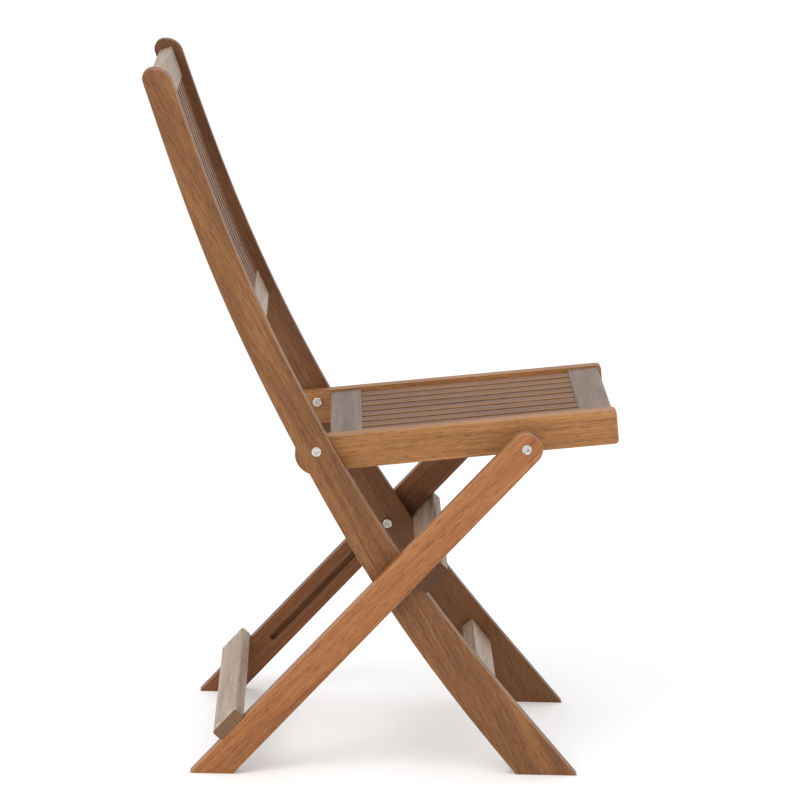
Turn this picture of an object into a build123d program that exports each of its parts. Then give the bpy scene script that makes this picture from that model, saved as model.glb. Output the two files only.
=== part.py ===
from build123d import *
import math
import os

os.makedirs("parts", exist_ok=True)

# A slatted wooden chair that folds flat. All sizes are in millimetres and degrees.
# +X is the way a sitter faces, +Y is the sitter's left, and the floor is at Z = 0.
# Each stile is a back post above the seat and a front foot below it. The seat hangs on the
# stiles at one pivot, and the rear legs hang on the seat rails at the other.

overall_height = 870.0
overall_width = 390.0

# Board thicknesses, from the outside in, and the air between the layers
leg_thickness = 20.0
stile_thickness = 20.0
seat_rail_thickness = 20.0
leg_gap = 1.0
washer_thickness = 1.0

# Stile, seen from the side: forward of the seat pivot, height, lean from upright, width
pivot_height = 405.0
stile_stations = [
    (295.0, 0.0, 41.0, 57.5),
    (131.2, 200.0, 36.5, 50.2),
    (0.0, pivot_height, 29.5, 40.8),
    (-118.2, 640.0, 23.3, 36.9),
]
stile_head_lean = 20.9
stile_top_lean = 19.5
stile_top_width = 33.5
stile_top_rear_radius = 12.0
stile_top_front_radius = 22.0
stile_boss_radius = 26.3
stile_boss_drop = 2.5
stile_arris = 1.5
end_overrun = 40.0

# Rails and slats of the back
back_rail_thickness = 18.0
back_rail_set_back = 2.5
top_rail_depth = 41.0
top_rail_drop = 30.0
lower_rail_depth = 36.0
lower_rail_height = 555.0
back_slat_count = 9
back_slat_width = 20.0
back_slat_thickness = 12.0
back_slat_recess = 1.25
front_stretcher_depth = 40.0
front_stretcher_thickness = 18.0
front_stretcher_height = 91.5
rail_arris = 2.0

# Seat
seat_slope = 6.7
seat_rail_top = 14.0
seat_rail_depth = 43.0
seat_rail_front = 371.0
seat_rail_rear = 20.0
seat_rail_heel_radius = 24.0
seat_rail_corner_radius = 5.0
cross_rail_width = 40.0
cross_rail_thickness = 20.0
cross_rail_drop = 2.2
rear_cross_rail_start = 18.3
front_cross_rail_lip = 4.3
seat_slat_count = 8
seat_slat_width = 20.4
seat_slat_thickness = 13.0
seat_slat_drop = 3.7
seat_slat_arris = 3.0

# Rear legs and the two boards that join them
leg_width = 39.5
leg_angle = 47.95
leg_pivot_forward = 256.0
leg_pivot_drop = 17.0
leg_overrun = 650.0
rear_stretcher_start = 482.0
rear_stretcher_width = 41.5
mid_stretcher_start = 174.0
mid_stretcher_width = 41.0
stretcher_thickness = 15.5
stretcher_arris = 3.0

# Guide bolt in each stile, and the groove that it follows in the leg
guide_edge_distance = 18.0
guide_pin_diameter = 7.0
guide_pin_stand_off = 0.4
groove_width = 8.0
groove_depth = 8.0
groove_end = 464.0

# Tenons
tenon_length = 12.0
tenon_thickness = 8.0
tenon_shoulder = 5.0
slat_tenon_length = 10.0
slat_tenon_thickness = 6.0
slat_tenon_shoulder = 3.0
joint_clearance = 0.1

# Bolts, sleeve nuts, washers and screws
bolt_diameter = 6.0
bolt_head_diameter = 12.4
bolt_head_height = 3.5
bolt_head_dome = 1.4
recess_arm = 1.3
recess_span = 6.5
recess_depth = 1.6
nut_flange_diameter = 12.2
nut_flange_thickness = 1.5
nut_flange_sunk = 1.0
nut_barrel_diameter = 9.0
nut_wall = 3.5
nut_socket_flats = 5.0
nut_socket_depth = 3.0
washer_diameter = 16.0
spacer_diameter = 16.0
running_clearance = 0.05
screw_diameter = 4.0
screw_head_diameter = 8.0
screw_head_height = 3.0
screw_length = 34.0
screw_spacing = 22.0
screw_recess_diameter = 3.0
screw_recess_depth = 1.5
stop_clearance = 0.3

# Layers, as distances from the middle of the chair
leg_outer = overall_width / 2
leg_inner = leg_outer - leg_thickness
stile_outer = leg_inner - leg_gap
stile_inner = stile_outer - stile_thickness
seat_rail_outer = stile_inner - washer_thickness
seat_rail_inner = seat_rail_outer - seat_rail_thickness


def tilted(forward, height, angle):
    """Side-view frame: local x points along angle above forward, local y is 90 degrees on."""
    turn = math.radians(angle)
    return Plane((forward, 0, height), x_dir=(math.cos(turn), 0, math.sin(turn)), z_dir=(0, -1, 0))


def place(frame, x, y):
    """Side-view position, forward and height, of a point given in a tilted frame."""
    spot = frame.from_local_coords((x, y, 0))
    return spot.X, spot.Z


def bar(frame, x_span, y_span, across, arris=0.0, along=Axis.X):
    """Rectangular bar in a tilted frame, with long edges rounded; across is its span over the chair."""
    size = (x_span[1] - x_span[0], y_span[1] - y_span[0], across[1] - across[0])
    solid = Box(*size)
    if arris:
        solid = fillet(solid.edges().filter_by(along), arris)
    middle = (sum(x_span) / 2, sum(y_span) / 2, -sum(across) / 2)
    return frame * Pos(*middle) * solid


def board(outline, inner, outer):
    """Board on the left side, from a side-view outline, between two distances from the middle."""
    return Pos(0, outer, 0) * extrude(Plane.XZ * outline, outer - inner)


def rod(spot, inner, outer, diameter):
    """Cylinder across the chair at a side-view spot, between two distances from the middle."""
    centre = Pos(spot[0], (inner + outer) / 2, spot[1])
    return centre * Rot(90, 0, 0) * Cylinder(diameter / 2, outer - inner)


def other_side(shape):
    return mirror(shape, about=Plane.XZ)


def both_sides(shape):
    return Compound(children=[shape, other_side(shape)])


def with_ends(stations, top):
    """Stile stations from below the floor to above the top, so that both ends can be cut level."""
    first, last = stations[0], top
    below = math.radians(first[2])
    above = math.radians(last[2])
    start = (first[0] + end_overrun * math.sin(below), first[1] - end_overrun * math.cos(below))
    finish = (last[0] - end_overrun * math.sin(above), last[1] + end_overrun * math.cos(above))
    return [start + first[2:]] + stations[:] + [last] + [finish + last[2:]]


last_station = stile_stations[-1]
head_rise = overall_height - last_station[1]
top_station = (
    last_station[0] - head_rise * math.tan(math.radians(stile_head_lean)),
    overall_height,
    stile_top_lean,
    stile_top_width,
)
all_stations = with_ends(stile_stations, top_station)
centre_line = Spline([(station[0], station[1]) for station in all_stations])


def stile_edge(side, clearance=0.0):
    """Long edge of the stile, foot to top: side is 1 for the front edge and -1 for the rear one."""
    points = []
    for forward, height, lean, width in all_stations:
        reach = side * (width / 2 + clearance)
        turn = math.radians(lean)
        points.append((forward + reach * math.cos(turn), height + reach * math.sin(turn)))
    return Spline(points)


def on_stile(height):
    """Frame on the stile's centre line at a height: local x runs down the stile, local y to its front."""
    low, high = 0.0, 1.0
    for _ in range(40):
        middle = (low + high) / 2
        if (centre_line @ middle).Y < height:
            low = middle
        else:
            high = middle
    direction = centre_line % low
    return tilted((centre_line @ low).X, height, math.degrees(math.atan2(-direction.Y, -direction.X)))


def between_edges(rear, front):
    """Face between two edge curves that both run from bottom to top."""
    top = Line(rear @ 1, front @ 1)
    bottom = Line(front @ 0, rear @ 0)
    return make_face([rear, top, front, bottom])


def stile_outline():
    rear, front = stile_edge(-1), stile_edge(1)
    level = Pos(0, overall_height / 2) * Rectangle(4 * overall_height, overall_height)
    body = between_edges(rear, front) & level
    for end, radius in ((0, stile_top_rear_radius), (-1, stile_top_front_radius)):
        corner = body.vertices().group_by(Axis.Y)[-1].sort_by(Axis.X)[end]
        body = fillet(corner, radius)
    behind_front = between_edges(Pos(-4 * stile_boss_radius, 0) * front, front)
    boss = (Pos(0, pivot_height - stile_boss_drop) * Circle(stile_boss_radius)) & behind_front
    return body + boss


seat_frame = tilted(0, pivot_height, seat_slope)
seat_pivot = place(seat_frame, 0, 0)
leg_pivot = place(seat_frame, leg_pivot_forward, -leg_pivot_drop)
leg_frame = tilted(leg_pivot[0], leg_pivot[1], 180 + leg_angle)


def guide_position():
    """Distance from the leg's pivot down to the guide bolt, which is set in from the stile's edge."""
    rear = stile_edge(-1)
    low, high = 0.0, leg_pivot[1] / math.sin(math.radians(leg_angle))
    for _ in range(40):
        middle = (low + high) / 2
        spot = place(leg_frame, middle, 0)
        distance = (Pos(*spot) * Vertex(0, 0, 0)).distance_to(rear)
        beyond = spot[0] < on_stile(spot[1]).origin.X - guide_edge_distance * 2
        if beyond or distance < guide_edge_distance:
            high = middle
        else:
            low = middle
    return low


guide_down_leg = guide_position()
guide_spot = place(leg_frame, guide_down_leg, 0)


def slot_for_nut(spot, face):
    """Bore for a sleeve nut that enters a board from its outer face, with a sink for the flange."""
    bore = rod(spot, 0, face + 1, nut_barrel_diameter + 2 * running_clearance)
    sink = rod(spot, face - nut_flange_sunk, face + 1, nut_flange_diameter + 2 * running_clearance)
    return bore + sink


def tenon(frame, x_span, y_span, shoulder_face, inward):
    """Tenon on a cross piece's left end: inward makes it larger by the clearance, as its mortise."""
    grow = joint_clearance if inward else 0.0
    x_trim = tenon_shoulder - grow
    y_trim = (y_span[1] - y_span[0] - tenon_thickness) / 2 - grow
    return bar(
        frame,
        (x_span[0] + x_trim, x_span[1] - x_trim),
        (y_span[0] + y_trim, y_span[1] - y_trim),
        (shoulder_face, shoulder_face + tenon_length + grow),
    )


def cross_piece(frame, x_span, y_span, shoulder_face, arris):
    """Bar across the chair between two side boards, with a tenon at each end."""
    piece = bar(frame, x_span, y_span, (-shoulder_face, shoulder_face), arris, Axis.Z)
    end = tenon(frame, x_span, y_span, shoulder_face, False)
    return piece + end + other_side(end)


def centred(size, middle=0.0):
    return (middle - size / 2, middle + size / 2)


def slat_places(count, width, clear):
    """Middles of slats spread evenly over a clear width, with equal gaps at the ends."""
    gap = (clear - count * width) / (count + 1)
    return [-clear / 2 + gap + width / 2 + index * (width + gap) for index in range(count)]


# Back frame: frames and sections of its cross pieces
top_rail = (on_stile(overall_height - top_rail_drop), centred(top_rail_depth))
lower_rail = (on_stile(lower_rail_height), centred(lower_rail_depth))
front_stretcher = (on_stile(front_stretcher_height), centred(front_stretcher_depth))
back_rail_section = centred(back_rail_thickness, -back_rail_set_back)
front_stretcher_section = centred(front_stretcher_thickness)


def make_stile():
    stile = board(stile_outline(), stile_inner, stile_outer)
    stile = fillet(stile.faces().sort_by(Axis.Y)[-1].edges(), stile_arris)
    for frame, depth in (top_rail, lower_rail):
        stile -= tenon(frame, depth, back_rail_section, stile_inner, True)
    stile -= tenon(front_stretcher[0], front_stretcher[1], front_stretcher_section, stile_inner, True)
    stile -= slot_for_nut(seat_pivot, stile_outer)
    stile -= rod(guide_spot, stile_inner - 1, stile_outer + 1, guide_pin_diameter + 2 * joint_clearance)
    return stile


def slat_tenon(frame, x_span, y_middle, middle, inward):
    """Stub tenon on a slat's end, or its mortise when inward; x_span runs into the rail."""
    grow = joint_clearance if inward else 0.0
    half_width = back_slat_width / 2 - slat_tenon_shoulder + grow
    thickness = centred(slat_tenon_thickness + 2 * grow, y_middle)
    return bar(frame, x_span, thickness, (middle - half_width, middle + half_width))


back_slat_front = back_rail_section[1] - back_slat_recess
back_slat_middle = back_slat_front - back_slat_thickness / 2
back_slat_places = slat_places(back_slat_count, back_slat_width, 2 * stile_inner)


def back_slat_ends(middle, inward):
    """Stub tenons at the top and bottom of a back slat."""
    grow = joint_clearance if inward else 0.0
    top_edge, low_edge = top_rail[1][1], lower_rail[1][0]
    upper = (top_edge - slat_tenon_length - grow, top_edge + 1 if inward else top_edge)
    lower = (low_edge - 1 if inward else low_edge, low_edge + slat_tenon_length + grow)
    return slat_tenon(top_rail[0], upper, back_slat_middle, middle, inward) + slat_tenon(
        lower_rail[0], lower, back_slat_middle, middle, inward
    )


def back_slat_side(depth):
    """Curve down one face of the slats, from the top rail to the lower rail."""
    start = place(top_rail[0], top_rail[1][1], depth)
    finish = place(lower_rail[0], lower_rail[1][0], depth)
    leave = (top_rail[0].x_dir.X, top_rail[0].x_dir.Z)
    arrive = (lower_rail[0].x_dir.X, lower_rail[0].x_dir.Z)
    return Spline([finish, start], tangents=[(-arrive[0], -arrive[1]), (-leave[0], -leave[1])])


def make_back_slat(middle):
    rear = back_slat_side(back_slat_front - back_slat_thickness)
    front = back_slat_side(back_slat_front)
    slat = board(between_edges(rear, front), middle - back_slat_width / 2, middle + back_slat_width / 2)
    return slat + back_slat_ends(middle, False)


def make_back_rail(rail):
    piece = cross_piece(rail[0], rail[1], back_rail_section, stile_inner, rail_arris)
    for middle in back_slat_places:
        piece -= back_slat_ends(middle, True)
    return piece


# Seat: sections in the seat's own frame, where the seat pivot is at 0, 0
rear_cross_span = (rear_cross_rail_start, rear_cross_rail_start + cross_rail_width)
front_cross_end = seat_rail_front - front_cross_rail_lip
front_cross_span = (front_cross_end - cross_rail_width, front_cross_end)
cross_rail_top = seat_rail_top - cross_rail_drop
cross_rail_section = (cross_rail_top - cross_rail_thickness, cross_rail_top)
seat_slat_section = (seat_rail_top - seat_slat_drop - seat_slat_thickness, seat_rail_top - seat_slat_drop)
seat_slat_places = slat_places(seat_slat_count, seat_slat_width, 2 * seat_rail_inner)


def seat_tenon(span, inward):
    """Tenon of a seat cross rail, wide and flat, with its shoulders at the front and the rear."""
    grow = joint_clearance if inward else 0.0
    return bar(
        seat_frame,
        (span[0] + tenon_shoulder - grow, span[1] - tenon_shoulder + grow),
        centred(tenon_thickness + 2 * grow, sum(cross_rail_section) / 2),
        (seat_rail_inner, seat_rail_inner + tenon_length + grow),
    )


def make_seat_rail():
    outline = Pos((seat_rail_front - seat_rail_rear) / 2, seat_rail_top - seat_rail_depth / 2) * Rectangle(
        seat_rail_front + seat_rail_rear, seat_rail_depth
    )
    heel = outline.vertices().group_by(Axis.X)[0].sort_by(Axis.Y)[0]
    outline = fillet(heel, seat_rail_heel_radius)
    corners = [corner for corner in outline.vertices() if corner.Y > 0 or corner.X > seat_rail_front - 1]
    outline = fillet(corners, seat_rail_corner_radius)
    rail = extrude(outline, seat_rail_thickness)
    rail = fillet(rail.faces().sort_by(Axis.Z)[0].edges(), stile_arris)
    rail = seat_frame * Pos(0, 0, -seat_rail_outer) * rail
    for spot in (seat_pivot, leg_pivot):
        rail -= rod(spot, seat_rail_inner - 1, seat_rail_outer + 1, bolt_diameter + 2 * joint_clearance)
    for span in (rear_cross_span, front_cross_span):
        rail -= seat_tenon(span, True)
    return rail


def seat_slat_ends(middle, inward):
    """Stub tenons at the rear and front of a seat slat."""
    grow = joint_clearance if inward else 0.0
    thickness = centred(slat_tenon_thickness + 2 * grow, sum(seat_slat_section) / 2)
    half_width = seat_slat_width / 2 - slat_tenon_shoulder + grow
    across = (middle - half_width, middle + half_width)
    open_end = 1.0 if inward else 0.0
    rear = (rear_cross_span[1] - slat_tenon_length - grow, rear_cross_span[1] + open_end)
    front = (front_cross_span[0] - open_end, front_cross_span[0] + slat_tenon_length + grow)
    return bar(seat_frame, rear, thickness, across) + bar(seat_frame, front, thickness, across)


def make_seat_slat(middle):
    across = (middle - seat_slat_width / 2, middle + seat_slat_width / 2)
    length = (rear_cross_span[1], front_cross_span[0])
    slat = bar(seat_frame, length, seat_slat_section, across, seat_slat_arris)
    return slat + seat_slat_ends(middle, False)


def make_cross_rail(span):
    rail = bar(seat_frame, span, cross_rail_section, (-seat_rail_inner, seat_rail_inner), rail_arris, Axis.Z)
    end = seat_tenon(span, False)
    rail = rail + end + other_side(end)
    for middle in seat_slat_places:
        rail -= seat_slat_ends(middle, True)
    return rail


# Legs: sections in the leg's own frame, where x runs down the leg and y to its front edge
rear_stretcher_span = (rear_stretcher_start, rear_stretcher_start + rear_stretcher_width)
mid_stretcher_span = (mid_stretcher_start, mid_stretcher_start + mid_stretcher_width)
rear_stretcher_section = (-leg_width / 2 - stretcher_thickness, -leg_width / 2)
mid_stretcher_section = (leg_width / 2, leg_width / 2 + stretcher_thickness)
leg_middle = (leg_inner + leg_outer) / 2


def stretcher_screw(down_leg, face, side, clearance=0.0):
    """Countersunk screw through a stretcher into the leg's edge; side is 1 for the leg's front edge."""
    radius = screw_diameter / 2 + clearance
    head = Cone(radius, screw_head_diameter / 2 + clearance, screw_head_height)
    head = Pos(0, 0, -screw_head_height / 2) * head
    shank = Pos(0, 0, -(screw_length + clearance) / 2) * Cylinder(radius, screw_length + clearance)
    screw = head + shank
    if not clearance:
        screw -= Cylinder(screw_recess_diameter / 2, 2 * screw_recess_depth)
    turned = Pos(down_leg, face, -leg_middle) * Rot(-90 * side, 0, 0) * screw
    return leg_frame * turned


def stretcher_screws(span, section, clearance=0.0):
    """The two screws that hold one end of a stretcher to the left leg."""
    side = 1 if section[0] > 0 else -1
    face = section[1] if side > 0 else section[0]
    spots = centred(screw_spacing, sum(span) / 2)
    return [stretcher_screw(spot, face, side, clearance) for spot in spots]


all_screws = stretcher_screws(rear_stretcher_span, rear_stretcher_section, joint_clearance)
all_screws += stretcher_screws(mid_stretcher_span, mid_stretcher_section, joint_clearance)


def make_leg():
    middle = leg_overrun / 2
    outline = Circle(leg_width / 2) + Pos(middle, 0) * Rectangle(leg_overrun, leg_width)
    leg = leg_frame * Pos(0, 0, -leg_outer) * extrude(outline, leg_thickness)
    leg &= Pos(0, 0, leg_overrun) * Box(4 * leg_overrun, 4 * leg_overrun, 2 * leg_overrun)
    leg = fillet(leg.faces().sort_by(Axis.Y)[-1].edges(), stile_arris)
    groove_start = guide_down_leg - groove_width / 2
    groove = Pos((groove_start + groove_end) / 2, 0) * SlotOverall(groove_end - groove_start, groove_width)
    leg -= leg_frame * Pos(0, 0, -leg_inner - groove_depth) * extrude(groove, groove_depth + 1)
    leg -= slot_for_nut(leg_pivot, leg_outer)
    for screw in all_screws:
        leg -= screw
    return leg


def make_stretcher(span, section):
    piece = bar(leg_frame, span, section, (-leg_outer, leg_outer), stretcher_arris, Axis.Z)
    for screw in all_screws:
        piece -= screw
        piece -= other_side(screw)
    return piece


def stile_notch():
    """Room for the stile, with the stop's clearance, where the middle stretcher rests on it."""
    room = between_edges(stile_edge(-1, stop_clearance), stile_edge(1, stop_clearance))
    return board(room, stile_inner - stop_clearance, stile_outer + stop_clearance)


# Bolts and nuts, on the left side
def bolt(spot, head_face, tip, diameter):
    """Pan-head bolt whose head bears on a board's inner face."""
    head = rod(spot, head_face - bolt_head_height, head_face, bolt_head_diameter)
    head = fillet(head.edges().group_by(Axis.Y)[0], bolt_head_dome)
    for width, length in ((recess_arm, recess_span), (recess_span, recess_arm)):
        arm = Box(width, 2 * recess_depth, length)
        head -= Pos(spot[0], head_face - bolt_head_height, spot[1]) * arm
    return head + rod(spot, head_face - 0.5, tip, diameter)


def sleeve_nut(spot, face, barrel_start):
    """Flanged nut in a board's outer face, with a hexagon socket; its barrel is the pivot's journal."""
    outer = face - nut_flange_sunk + nut_flange_thickness
    flange = rod(spot, outer - nut_flange_thickness, outer, nut_flange_diameter)
    flange = chamfer(flange.edges().group_by(Axis.Y)[-1], nut_flange_thickness / 3)
    nut = flange + rod(spot, barrel_start, outer - nut_flange_thickness / 2, nut_barrel_diameter)
    socket = RegularPolygon(nut_socket_flats / 2, 6, major_radius=False)
    nut -= Pos(spot[0], outer + 1, spot[1]) * extrude(Plane.XZ * socket, nut_socket_depth + 1)
    bolt_room = rod(spot, barrel_start - 1, outer - nut_wall - nut_socket_depth, bolt_diameter)
    return nut - bolt_room


def ring(spot, inner, outer, diameter):
    bore = rod(spot, inner - 1, outer + 1, bolt_diameter + 2 * joint_clearance)
    return rod(spot, inner, outer, diameter) - bore


def pivot_hardware(spot, face, barrel_start):
    """Bolt and sleeve nut of one pivot, on both sides of the chair."""
    tip = face - nut_flange_sunk + nut_flange_thickness - nut_wall - nut_socket_depth - 1
    screw = bolt(spot, seat_rail_inner, tip, bolt_diameter)
    return both_sides(screw), both_sides(sleeve_nut(spot, face, barrel_start))


parts = {}
parts["left_stile"] = make_stile()
parts["right_stile"] = other_side(parts["left_stile"])
parts["back_top_rail"] = make_back_rail(top_rail)
parts["back_lower_rail"] = make_back_rail(lower_rail)
for index, middle in enumerate(back_slat_places):
    parts[f"back_slat_{index + 1}"] = make_back_slat(middle)
parts["front_stretcher"] = cross_piece(
    front_stretcher[0], front_stretcher[1], front_stretcher_section, stile_inner, rail_arris
)
guide_tip = stile_outer + guide_pin_stand_off
parts["guide_bolts"] = both_sides(bolt(guide_spot, stile_inner, guide_tip, guide_pin_diameter))

parts["seat_rail_left"] = make_seat_rail()
parts["seat_rail_right"] = other_side(parts["seat_rail_left"])
parts["seat_rear_rail"] = make_cross_rail(rear_cross_span)
parts["seat_front_rail"] = make_cross_rail(front_cross_span)
for index, middle in enumerate(seat_slat_places):
    parts[f"seat_slat_{index + 1}"] = make_seat_slat(middle)
parts["seat_pivot_bolts"], parts["seat_pivot_nuts"] = pivot_hardware(seat_pivot, stile_outer, stile_inner)
parts["leg_pivot_bolts"], parts["leg_pivot_nuts"] = pivot_hardware(leg_pivot, leg_outer, leg_inner)
parts["seat_pivot_washers"] = both_sides(ring(seat_pivot, seat_rail_outer, stile_inner, washer_diameter))
parts["leg_pivot_spacers"] = both_sides(ring(leg_pivot, seat_rail_outer, leg_inner, spacer_diameter))

parts["leg_left"] = make_leg()
parts["leg_right"] = other_side(parts["leg_left"])
parts["rear_stretcher"] = make_stretcher(rear_stretcher_span, rear_stretcher_section)
notch = stile_notch()
parts["mid_stretcher"] = make_stretcher(mid_stretcher_span, mid_stretcher_section) - notch - other_side(notch)
for name, span, section in (
    ("rear_stretcher_screws", rear_stretcher_span, rear_stretcher_section),
    ("mid_stretcher_screws", mid_stretcher_span, mid_stretcher_section),
):
    left = stretcher_screws(span, section)
    parts[name] = Compound(children=left + [other_side(screw) for screw in left])

rearmost = min(shape.bounding_box().min.X for shape in parts.values())
foremost = max(shape.bounding_box().max.X for shape in parts.values())
to_middle = -(rearmost + foremost) / 2
for name, shape in parts.items():
    export_step(Pos(to_middle, 0, 0) * shape, f"parts/{name}.step")

for label, spot in (("seat pivot", seat_pivot), ("leg pivot", leg_pivot), ("guide", guide_spot)):
    print(label, round(spot[0] + to_middle, 3), round(spot[1], 3))
print("moved forward by", round(to_middle, 3), "depth", round(foremost - rearmost, 2))
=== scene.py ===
import math
import bmesh
import bpy
from mathutils import Matrix, Vector


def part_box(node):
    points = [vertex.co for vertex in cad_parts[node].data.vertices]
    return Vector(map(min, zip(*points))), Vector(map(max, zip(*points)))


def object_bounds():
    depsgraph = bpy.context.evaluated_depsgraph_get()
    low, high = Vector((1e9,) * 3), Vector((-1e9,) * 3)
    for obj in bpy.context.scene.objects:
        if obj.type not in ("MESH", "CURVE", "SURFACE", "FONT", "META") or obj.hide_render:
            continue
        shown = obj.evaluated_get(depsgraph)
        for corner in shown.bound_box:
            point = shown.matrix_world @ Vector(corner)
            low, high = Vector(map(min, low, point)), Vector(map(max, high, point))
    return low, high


# %% [markdown]
# # A folding wooden chair
# The chair is made of boards about 20 mm thick, cut from a brown hardwood and oiled. All of
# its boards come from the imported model, in metres, and they are already the right shape. So
# this script adds nothing to them: it gives each board its own timber, and then sets up the
# floor, the light and the camera.

# %% The frame
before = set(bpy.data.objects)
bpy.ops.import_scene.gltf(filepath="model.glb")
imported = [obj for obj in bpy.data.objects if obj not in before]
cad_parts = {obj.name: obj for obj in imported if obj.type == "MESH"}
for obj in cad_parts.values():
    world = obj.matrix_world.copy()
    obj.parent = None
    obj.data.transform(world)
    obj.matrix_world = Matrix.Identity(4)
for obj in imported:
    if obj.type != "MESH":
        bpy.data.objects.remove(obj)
cad_low, cad_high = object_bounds()
print("boards and fittings:", len(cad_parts), "top at", round(cad_high.z, 3), "m")

# %% [markdown]
# # Reading shader sums as Python
# A material is a graph of nodes. Long sums are easier to read as expressions, so this step
# wraps a node's output in a small class: writing `1 - pores` then adds the Math node for it.
# Everything that isn't arithmetic on numbers goes through one method that makes any node.


# %% Shader arithmetic
# Places of sockets that have no name of their own in a node
TEXCOORD_NORMAL, TEXCOORD_OBJECT = 1, 3
MIX_FACTOR, MIX_FIRST, MIX_SECOND, MIX_COLOUR = 0, 6, 7, 2
DOT_VALUE = 1
AXIS_Y, AXIS_Z = 1, 2


class Reading:
    """The output of a node, which can be added, taken away and multiplied."""

    def __init__(self, finish, socket):
        self.finish = finish
        self.socket = socket

    def maths(self, operation, *terms):
        return self.finish.node("ShaderNodeMath", {"operation": operation}, dict(enumerate(terms)))

    def size(self):
        """The value without its sign."""
        return self.maths("ABSOLUTE", self)

    def __add__(self, other):
        return self.maths("ADD", self, other)

    def __radd__(self, other):
        return self.maths("ADD", other, self)

    def __sub__(self, other):
        return self.maths("SUBTRACT", self, other)

    def __rsub__(self, other):
        return self.maths("SUBTRACT", other, self)

    def __mul__(self, other):
        return self.maths("MULTIPLY", self, other)

    def __rmul__(self, other):
        return self.maths("MULTIPLY", other, self)


class Finish:
    """A material that is built node by node."""

    def __init__(self, name):
        self.material = bpy.data.materials.new(name)
        self.material.use_nodes = True
        self.tree = self.material.node_tree
        self.tree.nodes.clear()

    def node(self, kind, settings=None, sockets=None, output=0):
        """Any node: its settings first, then the values or links of its sockets."""
        made = self.tree.nodes.new(kind)
        for key, value in (settings or {}).items():
            if key == "stops":
                self.set_stops(made.color_ramp, value)
            else:
                setattr(made, key, value)
        for key, value in (sockets or {}).items():
            if isinstance(value, Reading):
                self.tree.links.new(value.socket, made.inputs[key])
            else:
                made.inputs[key].default_value = value
        return Reading(self, made.outputs[output]) if made.outputs else None

    @staticmethod
    def set_stops(ramp, stops):
        while len(ramp.elements) < len(stops):
            ramp.elements.new(0.5)
        for element, (place, colour) in zip(ramp.elements, stops):
            element.position = place
            element.color = (*colour, 1)

    def stretched(self, place, along, across):
        """The same place with the timber's length and width scaled apart."""
        scale = (along, across, across)
        return self.node("ShaderNodeVectorMath", {"operation": "MULTIPLY"}, {0: place, 1: scale})

    def noise(self, place, detail=3.0, roughness=0.5, distortion=0.0):
        sockets = {"Vector": place, "Scale": 1.0, "Detail": detail}
        sockets.update({"Roughness": roughness, "Distortion": distortion})
        return self.node("ShaderNodeTexNoise", None, sockets)

    def ramp(self, factor, stops):
        return self.node("ShaderNodeValToRGB", {"stops": stops}, {"Fac": factor})

    def mix(self, factor, first, second):
        sockets = {MIX_FACTOR: factor, MIX_FIRST: first, MIX_SECOND: second}
        return self.node("ShaderNodeMix", {"data_type": "RGBA"}, sockets, MIX_COLOUR)

    def place(self):
        """Where a point is on the object, in metres."""
        return self.node("ShaderNodeTexCoord", output=TEXCOORD_OBJECT)

    def facing(self):
        """Which way the surface faces, in the object's own directions."""
        return self.node("ShaderNodeTexCoord", output=TEXCOORD_NORMAL)

    def part_of(self, vector, axis):
        return self.node("ShaderNodeSeparateXYZ", None, {"Vector": vector}, axis)

    def bump(self, height, strength, depth):
        sockets = {"Strength": strength, "Distance": depth, "Height": height}
        return self.node("ShaderNodeBump", None, sockets)

    def between(self, value, low, high):
        """0 below low, 1 above high, and a smooth rise in between."""
        sockets = {"Value": value, "From Min": low, "From Max": high}
        return self.node("ShaderNodeMapRange", {"interpolation_type": "SMOOTHSTEP"}, sockets)

    def surface(self, sockets):
        shader = self.node("ShaderNodeBsdfPrincipled", None, sockets)
        self.node("ShaderNodeOutputMaterial", None, {"Surface": shader})
        return self.material


def linear(red, green, blue):
    """A colour as a screen shows it, 0 to 255, turned into the light that a shader works with."""
    parts = []
    for value in (red, green, blue):
        value = value / 255
        parts.append(value / 12.92 if value <= 0.04045 else ((value + 0.055) / 1.055) ** 2.4)
    return tuple(parts)


def paint(shade):
    """The same colour with the fourth number, 1, that a colour socket expects."""
    return (*linear(*shade), 1)


print("a mid brown is", [round(part, 3) for part in linear(150, 108, 77)])

# %% [markdown]
# # Timber
# Sawn boards show three things at once: broad bands of colour a few centimetres apart, thin
# streaks that run with the grain, and short dark pores. Each is a noise pattern stretched
# along the board, at its own scale. The pattern is turned so that it runs with each board,
# and shifted so that no two boards are cut from the same place in the log.
# Where the grain meets the end of a board the fibres are cut across, and soak up more oil,
# so the ends get a shade of their own, with specks instead of streaks. The rounded arrises get
# a painted highlight, a paler colour that stands for light caught on their curve. On those the
# surface faces partly sideways, which is how the material finds them. An image of real timber
# would need unwrapping, and would stretch on curved boards, so noise is the better choice here.


# %% Timber finish
# For each pattern: how often it repeats in a metre along and across the grain, then its noise
PATTERNS = {
    "bands": ((2.6, 40), (4, 0.55, 0.6)),
    "streaks": ((9, 420), (5, 0.62, 0.3)),
    "fibres": ((60, 1300), (3, 0.6)),
    "pores": ((85, 1100), (2, 0.4)),
    "specks": ((500, 620), (3, 0.6)),
}
LOG_STEPS = ((1.37, 11), (2.91, 7), (0.73, 5))
SHADE_PLACES = (0.37, 0.50, 0.63)
# Ramp places for the painted light on faces that look up
TOP_LIGHT_PLACES = (0.40, 0.50, 0.62)
PORE = (58, 34, 20)
# Colour of the painted highlight on rounded arrises
ARRIS_HIGHLIGHT = (170, 138, 108)
PORE_DEPTH = 0.45
# How strongly the painted highlight on arrises is mixed in
ARRIS_HIGHLIGHT_STRENGTH = 0.55
END_DARKENING = 0.6


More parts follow.
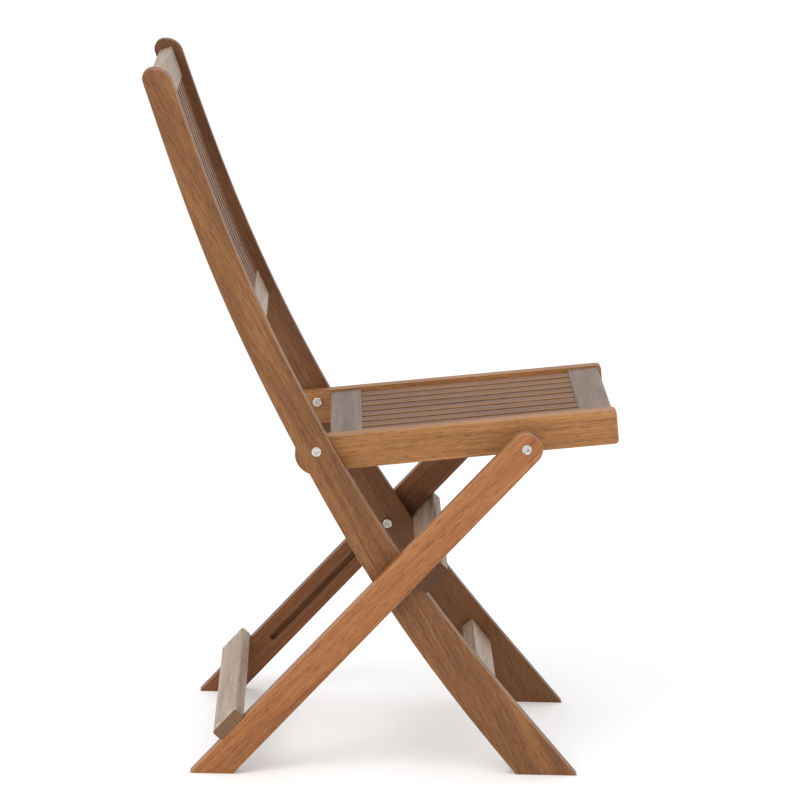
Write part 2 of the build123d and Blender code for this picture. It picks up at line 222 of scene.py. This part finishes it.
def timber(name, run, seed, shades, rough, bloom, end_shade, lit_top=None):
    """Oiled hardwood. run is the grain's direction, and shades go from dark to light.

    Where the last shades are given, the faces that look up are turned to them as painted light.
    """
    finish = Finish(name)
    grain = Vector(run).normalized()
    turn = grain.rotation_difference(Vector((1, 0, 0))).to_euler()
    log = tuple(seed * step % length for step, length in LOG_STEPS)
    sockets = {"Vector": finish.place(), "Location": log, "Rotation": turn}
    place = finish.node("ShaderNodeMapping", {"vector_type": "POINT"}, sockets)

    def pattern(kind):
        scale, noise = PATTERNS[kind]
        return finish.noise(finish.stretched(place, *scale), *noise)

    def shaded(places, colours):
        return finish.ramp(figure, list(zip(places, (linear(*shade) for shade in colours))))

    bands, streaks, fibres = (pattern(kind) for kind in ("bands", "streaks", "fibres"))
    pores = finish.between(pattern("pores"), 0.58, 0.68)
    figure = bands * 0.36 + streaks * 0.30 + fibres * 0.34
    colour = finish.mix(pores * PORE_DEPTH, shaded(SHADE_PLACES, shades), paint(PORE))

    facing = finish.facing()
    # Painted light: faces that look up are made paler, for light falling on them from above
    if lit_top:
        height = finish.part_of(facing, AXIS_Z)
        painted_top_light = shaded(TOP_LIGHT_PLACES, lit_top)
        colour = finish.mix(finish.between(height, 0.45, 0.75), colour, painted_top_light)

    dot = {"operation": "DOT_PRODUCT"}
    along = finish.node("ShaderNodeVectorMath", dot, {0: facing, 1: grain}, DOT_VALUE)
    end = finish.between(along.size(), 0.75, 0.95)
    end_light = linear(*end_shade)
    end_dark = tuple(part * END_DARKENING for part in end_light)
    end_colour = finish.ramp(pattern("specks"), [(0.35, end_dark), (0.62, end_light)])
    colour = finish.mix(end, colour, end_colour)

    # Painted highlight: surfaces that face partly sideways, the rounded arrises, are made paler
    sideways = finish.part_of(facing, AXIS_Y).size()
    arris_highlight = finish.between(sideways, 0.25, 0.50) * (1 - finish.between(sideways, 0.80, 0.95))
    colour = finish.mix(arris_highlight * ARRIS_HIGHLIGHT_STRENGTH, colour, paint(ARRIS_HIGHLIGHT))

    relief = fibres * 0.5 + streaks * 0.5 - pores * 0.5
    return finish.surface({
        "Base Color": colour,
        "Roughness": rough + (fibres - 0.5) * 0.25 + end * 0.1,
        "Normal": finish.bump(relief, 0.35, 0.0006),
        "Sheen Weight": bloom,
        "Sheen Roughness": 0.35,
        "Sheen Tint": (1.0, 0.96, 0.90, 1),
        "Specular IOR Level": 0.3,
    })


# %% [markdown]
# # Which way each board's grain runs
# The stiles lean back above the seat and forward below it, but they are sawn from straight
# boards, so one direction serves the whole curve. Slats, rails and legs are straight. Each
# direction is read from the two corners of a board's own box, so it stays right if the chair
# is made in another size. A box is a little longer than its board's centre line, and the
# allowances take that off.


# %% Grain directions
STILE_ALLOWANCE = 0.06
SLAT_ALLOWANCE = 0.010

stile_low, stile_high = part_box("left_stile")
stile_run = (stile_low.x - stile_high.x + STILE_ALLOWANCE, 0, stile_high.z)
back_low, back_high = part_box("back_slat_5")
back_run = (back_low.x - back_high.x, 0, back_high.z - back_low.z)
leg_low, leg_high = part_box("leg_left")
leg_run = (leg_high.x - leg_low.x, 0, leg_high.z - leg_low.z)
seat_low, seat_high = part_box("seat_slat_4")
seat_run = (seat_high.x - seat_low.x, 0, seat_high.z - seat_low.z - SLAT_ALLOWANCE)
across_run = (0, 1, 0)
for label, run in (("stile", stile_run), ("leg", leg_run), ("seat", seat_run)):
    print(label, "grain", [round(part, 3) for part in run])

# %% [markdown]
# # The shades of the boards
# No two planks of oiled hardwood match. The legs are the reddest, and the boards on the
# sitter's left are given darker shades than those on the right. Cross pieces are painted a pale
# greyish brown, which is painted reflection: the sheen of bright surroundings seen at a grazing
# angle. The middle stretcher is painted dark, which is painted shade from the seat above it,
# and pale on top, which is painted light. Each shade is three colours, from the dark of the
# grain to its light.

# %% Shades
STILE = ((86, 54, 30), (120, 77, 43), (144, 98, 58))
DEEP_STILE = ((78, 46, 23), (106, 65, 34), (128, 84, 49))
LEG = ((116, 69, 36), (148, 93, 51), (170, 113, 67))
DEEP_LEG = ((82, 46, 22), (112, 66, 33), (134, 86, 48))
RAIL = ((112, 73, 38), (152, 103, 57), (178, 126, 76))
SLAT = ((78, 46, 24), (110, 68, 34), (136, 90, 50))
# Painted shade: the middle stretcher is dark for the shade of the seat above it
PAINTED_SHADE = ((46, 24, 10), (70, 38, 16), (90, 52, 26))
# Painted reflection: cross pieces are pale for the sheen of bright surroundings at a grazing angle
SEAT_PAINTED_SHEEN = ((62, 40, 26), (106, 81, 62), (150, 126, 106))
PAINTED_SHEEN = ((82, 56, 36), (144, 118, 96), (186, 164, 144))
END = (122, 88, 62)
# Painted shade on the ends of the middle stretcher
PAINTED_SHADE_END = (84, 50, 28)
print("lightest shade of a cross piece:", PAINTED_SHEEN[-1])

# %% [markdown]
# # Every board gets its own timber
# Each entry is a board's grain, shades, roughness, bloom and end shade. Roughness near 0.5 is
# the dull sheen of oil that has soaked in. Bloom is the faint chalky film on weathered wood.
# One material for all the boards would be shorter, but the same streaks would then run on
# from one board into the next, as they never do on joined boards.

# %% Boards
OILED = (0.50, 0.02)
WEATHERED = (0.45, 0.10)

boards = {
    "left_stile": (stile_run, DEEP_STILE, *OILED, END),
    "right_stile": (stile_run, STILE, *OILED, END),
    "seat_rail_left": (seat_run, RAIL, *OILED, END),
    "seat_rail_right": (seat_run, RAIL, *OILED, END),
    "leg_left": (leg_run, DEEP_LEG, *OILED, END),
    "leg_right": (leg_run, LEG, *OILED, END),
    # The rear stretcher gets the pale shades of painted reflection
    "rear_stretcher": (across_run, PAINTED_SHEEN, *WEATHERED, END),
    # Middle stretcher: painted shade, with painted light on the faces that look up
    "mid_stretcher": (across_run, PAINTED_SHADE, *OILED, PAINTED_SHADE_END, PAINTED_SHEEN),
}
for index in range(1, 10):
    boards[f"back_slat_{index}"] = (back_run, SLAT, 0.48, 0.03, END)
for index in range(1, 9):
    boards[f"seat_slat_{index}"] = (seat_run, SLAT, 0.50, 0.03, END)
# Cross pieces get the pale shades of painted reflection
for node in ("back_top_rail", "back_lower_rail", "front_stretcher"):
    boards[node] = (across_run, PAINTED_SHEEN, *WEATHERED, END)
for node in ("seat_rear_rail", "seat_front_rail"):
    boards[node] = (across_run, SEAT_PAINTED_SHEEN, 0.45, 0.08, END)


def dress(node, material):
    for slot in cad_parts[node].material_slots:
        slot.material = material


for seed, (node, (run, *look)) in enumerate(boards.items(), start=1):
    dress(node, timber(f"timber_{node}", run, seed, *look))
print("boards dressed:", len(boards))

# %% [markdown]
# # Bright steel
# Bolts, nuts and screws are zinc plated. The plating is never quite even, so its roughness
# and colour drift slightly, and fine turning marks break up the reflections.


# %% Plated steel finish
CLOUDS_PER_METRE = 300
MARKS_PER_METRE = 2500


def plated_steel(name):
    finish = Finish(name)
    where = finish.place()
    cloud = finish.noise(finish.stretched(where, CLOUDS_PER_METRE, CLOUDS_PER_METRE), 3, 0.5)
    marks = finish.noise(finish.stretched(where, MARKS_PER_METRE, MARKS_PER_METRE), 2, 0.5)
    return finish.surface({
        "Base Color": finish.ramp(cloud, [(0.35, linear(170, 166, 160)), (0.65, linear(214, 210, 202))]),
        "Metallic": 1.0,
        "Roughness": 0.22 + cloud * 0.16,
        "Normal": finish.bump(marks, 0.2, 0.0001),
    })


steel = plated_steel("plated_steel")
fittings = [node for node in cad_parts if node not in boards]
for node in fittings:
    dress(node, steel)
print("fittings dressed:", sorted(fittings))

# %% [markdown]
# # Floor
# A wide pale floor fills the whole view, because the camera looks down at it through a long
# lens. It is one flat square.


# %% Floor
FLOOR_REACH = 30

sheet = bmesh.new()
bmesh.ops.create_grid(sheet, x_segments=1, y_segments=1, size=FLOOR_REACH)
floor_mesh = bpy.data.meshes.new("floor")
sheet.to_mesh(floor_mesh)
sheet.free()
floor = bpy.data.objects.new("floor", floor_mesh)
bpy.context.scene.collection.objects.link(floor)
floor_finish = Finish("pale_floor")
drift = floor_finish.noise(floor_finish.place(), 2)
floor_shades = [(0.3, (0.955, 0.955, 0.955)), (0.7, (0.975, 0.975, 0.975))]
floor_colour = floor_finish.ramp(drift, floor_shades)
floor_mesh.materials.append(floor_finish.surface({"Base Color": floor_colour, "Roughness": 0.9}))

# %% [markdown]
# # Light
# The light is that of a studio: a bright even surround, one large soft lamp high on the left,
# and a weaker one from the front. Large lamps make soft shadows, and the surround fills them,
# so the grooves and gaps stay readable.

# %% Light
SURROUND = 1.06

world = bpy.data.worlds.new("studio")
world.use_nodes = True
surround = world.node_tree.nodes["Background"]
surround.inputs["Color"].default_value = (1, 1, 1, 1)
surround.inputs["Strength"].default_value = SURROUND
bpy.context.scene.world = world


def soft_lamp(name, place, target, size, power):
    """Square lamp at a place, size metres wide, turned to face a target; power is in watts."""
    lamp = bpy.data.lights.new(name, "AREA")
    lamp.shape = "SQUARE"
    lamp.size = size
    lamp.energy = power
    holder = bpy.data.objects.new(name, lamp)
    aim = Vector(target) - Vector(place)
    turn = aim.to_track_quat("-Z", "Y").to_matrix().to_4x4()
    holder.matrix_world = Matrix.Translation(place) @ turn
    bpy.context.scene.collection.objects.link(holder)


middle = (cad_low + cad_high) / 2
soft_lamp("key", (-1.6, -2.2, 2.8), middle, 2.0, 40)
soft_lamp("fill", (2.4, -2.6, 1.6), middle, 2.5, 15)

# %% [markdown]
# # Camera
# The camera stands nearly five metres to the chair's right-hand side, a little above it, with
# a long lens that keeps the near and far legs almost the same size. Its turn, tilt and lean
# are three angles, from which its own directions are worked out.

# %% Camera
CAMERA_PLACE = (-0.0761, -4.7372, 1.4035)
CAMERA_TURN, CAMERA_TILT, CAMERA_LEAN = -1.26, 11.53, 1.53
LENS = 172.0
SENSOR = 36
FARTHEST = 200

yaw, pitch, roll = (math.radians(angle) for angle in (CAMERA_TURN, CAMERA_TILT, CAMERA_LEAN))
ahead = Vector((-math.sin(yaw) * math.cos(pitch), math.cos(yaw) * math.cos(pitch), -math.sin(pitch)))
right = Vector((math.cos(yaw), math.sin(yaw), 0))
up = right.cross(ahead)
side = right * math.cos(roll) + up * math.sin(roll)
head = up * math.cos(roll) - right * math.sin(roll)
camera_data = bpy.data.cameras.new("camera")
camera_data.sensor_width = SENSOR
camera_data.lens = LENS
camera_data.clip_end = FARTHEST
camera = bpy.data.objects.new("camera", camera_data)
turned = Matrix((side, head, -ahead)).transposed().to_4x4()
camera.matrix_world = Matrix.Translation(CAMERA_PLACE) @ turned
bpy.context.scene.collection.objects.link(camera)
bpy.context.scene.camera = camera
bpy.context.scene.view_settings.view_transform = "Standard"
print("camera is", round((Vector(CAMERA_PLACE) - middle).length, 2), "m from the chair")
